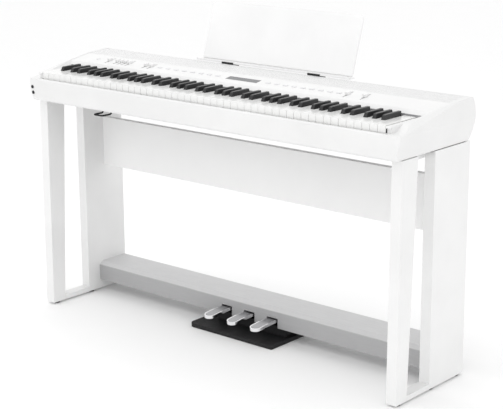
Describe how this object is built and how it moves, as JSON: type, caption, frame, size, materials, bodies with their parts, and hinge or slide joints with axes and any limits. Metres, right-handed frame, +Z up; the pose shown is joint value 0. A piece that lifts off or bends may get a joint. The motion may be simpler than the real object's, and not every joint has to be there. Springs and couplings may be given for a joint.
{
  "type": "digital piano on stand",
  "caption": "Slim digital piano with a full weighted-style keyboard on a slab stand with a pedal unit, music rest and modesty panel.",
  "frame": {"origin": "on the floor under the middle pedal, in the underside of the pedal base plate", "axes": "+X right along the keys, +Y from the player to the back, +Z up"},
  "size_m": [1.323, 0.3955, 0.9209],
  "materials": {
    "stand_white": "satin white film on board",
    "case_white": "satin",
    "rail_white": "satin",
    "board_dark": "dark board",
    "grille": "fine mesh",
    "beam": "light grey satin",
    "steel": "zinc plated",
    "black_steel": "black satin",
    "pedal_metal": "satin plated",
    "felt": "felt",
    "rubber_black": "matte",
    "circuit": "circuit board",
    "dark_plastic": "matte",
    "speaker": "matte",
    "rest_board": "satin",
    "screen": "dark window",
    "key_white": "gloss",
    "key_black": "satin",
    "button": "satin",
    "knob": "satin"
  },
  "bodies": {
    "frame": {"left_front_leg": "stand_white", "right_front_leg": "stand_white", "left_rear_panel": "stand_white", "right_rear_panel": "stand_white", "floor_bars": "stand_white", "top_rails": "rail_white", "modesty_panel": "stand_white", "stand_brackets": "steel", "stand_screws": "steel", "stand_feet": "rubber_black", "pedal_beam": "beam", "pedal_housing": "black_steel", "pedal_base_plate": "black_steel", "pedal_axle": "steel", "soft_spring": "steel", "sostenuto_spring": "steel", "damper_spring": "steel", "bottom_board": "board_dark", "front_rail": "case_white", "left_end_cap": "case_white", "right_end_cap": "case_white", "back_cover": "case_white", "control_panel": "case_white", "speaker_grille": "grille", "key_felt": "felt", "key_bed": "steel", "key_pivot_rod": "steel", "contact_strip": "rubber_black", "circuit_boards": "circuit", "speakers": "speaker", "music_rest": "rest_board", "rest_holders": "black_steel", "rest_screws": "black_steel", "phones_jacks": "dark_plastic", "rear_jacks": "dark_plastic", "headphone_hook": "black_steel", "display": "screen"},
    "key_c": {"key_c": "key_white"},
    "key_c_sharp": {"key_c_sharp": "key_black"},
    "key_d": {"key_d": "key_white"},
    "key_d_sharp": {"key_d_sharp": "key_black"},
    "key_e": {"key_e": "key_white"},
    "key_f": {"key_f": "key_white"},
    "key_f_sharp": {"key_f_sharp": "key_black"},
    "key_g": {"key_g": "key_white"},
    "key_g_sharp": {"key_g_sharp": "key_black"},
    "key_a": {"key_a": "key_white"},
    "key_a_sharp": {"key_a_sharp": "key_black"},
    "key_b": {"key_b": "key_white"},
    "white_keys": {"white_keys": "key_white"},
    "black_keys": {"black_keys": "key_black"},
    "soft_pedal": {"soft_pedal": "pedal_metal"},
    "sostenuto_pedal": {"sostenuto_pedal": "pedal_metal"},
    "damper_pedal": {"damper_pedal": "pedal_metal"},
    "volume_slider": {"volume_slider": "knob"},
    "tone_sliders": {"tone_sliders": "knob"},
    "level_sliders": {"level_sliders": "knob"},
    "tone_buttons": {"tone_buttons": "button"},
    "menu_buttons": {"menu_buttons": "button"},
    "power_button": {"power_button": "button"}
  },
  "joints": [
    {"name": "key_c_turn", "type": "hinge", "parent": "frame", "child": "key_c", "pos_m": [0, 0.025, 0.706], "axis": [1, 0, 0], "range_deg": [0, 2.55], "stiffness_Nm_per_rad": 1, "springref_deg": -9.74},
    {"name": "key_c_sharp_turn", "type": "hinge", "parent": "frame", "child": "key_c_sharp", "pos_m": [0, 0.025, 0.706], "axis": [1, 0, 0], "range_deg": [0, 2.55], "stiffness_Nm_per_rad": 1, "springref_deg": -9.74},
    {"name": "key_d_turn", "type": "hinge", "parent": "frame", "child": "key_d", "pos_m": [0, 0.025, 0.706], "axis": [1, 0, 0], "range_deg": [0, 2.55], "stiffness_Nm_per_rad": 1, "springref_deg": -9.74},
    {"name": "key_d_sharp_turn", "type": "hinge", "parent": "frame", "child": "key_d_sharp", "pos_m": [0, 0.025, 0.706], "axis": [1, 0, 0], "range_deg": [0, 2.55], "stiffness_Nm_per_rad": 1, "springref_deg": -9.74},
    {"name": "key_e_turn", "type": "hinge", "parent": "frame", "child": "key_e", "pos_m": [0, 0.025, 0.706], "axis": [1, 0, 0], "range_deg": [0, 2.55], "stiffness_Nm_per_rad": 1, "springref_deg": -9.74},
    {"name": "key_f_turn", "type": "hinge", "parent": "frame", "child": "key_f", "pos_m": [0, 0.025, 0.706], "axis": [1, 0, 0], "range_deg": [0, 2.55], "stiffness_Nm_per_rad": 1, "springref_deg": -9.74},
    {"name": "key_f_sharp_turn", "type": "hinge", "parent": "frame", "child": "key_f_sharp", "pos_m": [0, 0.025, 0.706], "axis": [1, 0, 0], "range_deg": [0, 2.55], "stiffness_Nm_per_rad": 1, "springref_deg": -9.74},
    {"name": "key_g_turn", "type": "hinge", "parent": "frame", "child": "key_g", "pos_m": [0, 0.025, 0.706], "axis": [1, 0, 0], "range_deg": [0, 2.55], "stiffness_Nm_per_rad": 1, "springref_deg": -9.74},
    {"name": "key_g_sharp_turn", "type": "hinge", "parent": "frame", "child": "key_g_sharp", "pos_m": [0, 0.025, 0.706], "axis": [1, 0, 0], "range_deg": [0, 2.55], "stiffness_Nm_per_rad": 1, "springref_deg": -9.74},
    {"name": "key_a_turn", "type": "hinge", "parent": "frame", "child": "key_a", "pos_m": [0, 0.025, 0.706], "axis": [1, 0, 0], "range_deg": [0, 2.55], "stiffness_Nm_per_rad": 1, "springref_deg": -9.74},
    {"name": "key_a_sharp_turn", "type": "hinge", "parent": "frame", "child": "key_a_sharp", "pos_m": [0, 0.025, 0.706], "axis": [1, 0, 0], "range_deg": [0, 2.55], "stiffness_Nm_per_rad": 1, "springref_deg": -9.74},
    {"name": "key_b_turn", "type": "hinge", "parent": "frame", "child": "key_b", "pos_m": [0, 0.025, 0.706], "axis": [1, 0, 0], "range_deg": [0, 2.55], "stiffness_Nm_per_rad": 1, "springref_deg": -9.74},
    {"name": "white_keys_turn", "type": "hinge", "parent": "frame", "child": "white_keys", "pos_m": [0, 0.025, 0.706], "axis": [1, 0, 0], "range_deg": [0, 2.55], "stiffness_Nm_per_rad": 45, "springref_deg": -9.74},
    {"name": "black_keys_turn", "type": "hinge", "parent": "frame", "child": "black_keys", "pos_m": [0, 0.025, 0.706], "axis": [1, 0, 0], "range_deg": [0, 2.55], "stiffness_Nm_per_rad": 31, "springref_deg": -9.74},
    {"name": "soft_pedal_turn", "type": "hinge", "parent": "frame", "child": "soft_pedal", "pos_m": [0, 0.084, 0.054], "axis": [1, 0, 0], "range_deg": [0, 6.61], "stiffness_Nm_per_rad": 15, "springref_deg": -5.73, "deforming": ["soft_spring"]},
    {"name": "sostenuto_pedal_turn", "type": "hinge", "parent": "frame", "child": "sostenuto_pedal", "pos_m": [0, 0.084, 0.054], "axis": [1, 0, 0], "range_deg": [0, 6.61], "stiffness_Nm_per_rad": 15, "springref_deg": -5.73, "deforming": ["sostenuto_spring"]},
    {"name": "damper_pedal_turn", "type": "hinge", "parent": "frame", "child": "damper_pedal", "pos_m": [0, 0.084, 0.054], "axis": [1, 0, 0], "range_deg": [0, 6.61], "stiffness_Nm_per_rad": 15, "springref_deg": -5.73, "deforming": ["damper_spring"]},
    {"name": "volume_slider_slide", "type": "slide", "parent": "frame", "child": "volume_slider", "axis": [0, 0.9874, 0.158], "range_m": [-0.018, 0.018]},
    {"name": "tone_sliders_slide", "type": "slide", "parent": "frame", "child": "tone_sliders", "axis": [0, 0.9874, 0.158], "range_m": [-0.018, 0.018]},
    {"name": "level_sliders_slide", "type": "slide", "parent": "frame", "child": "level_sliders", "axis": [0, 0.9874, 0.158], "range_m": [-0.018, 0.018]},
    {"name": "tone_buttons_press", "type": "slide", "parent": "frame", "child": "tone_buttons", "axis": [0, 0.158, -0.9874], "range_m": [0, 0.0012], "stiffness_N_per_m": 2400, "springref_m": -0.001},
    {"name": "menu_buttons_press", "type": "slide", "parent": "frame", "child": "menu_buttons", "axis": [0, 0.158, -0.9874], "range_m": [0, 0.0012], "stiffness_N_per_m": 2700, "springref_m": -0.001},
    {"name": "power_button_press", "type": "slide", "parent": "frame", "child": "power_button", "axis": [0, 0.158, -0.9874], "range_m": [0, 0.0012], "stiffness_N_per_m": 300, "springref_m": -0.001}
  ]
}
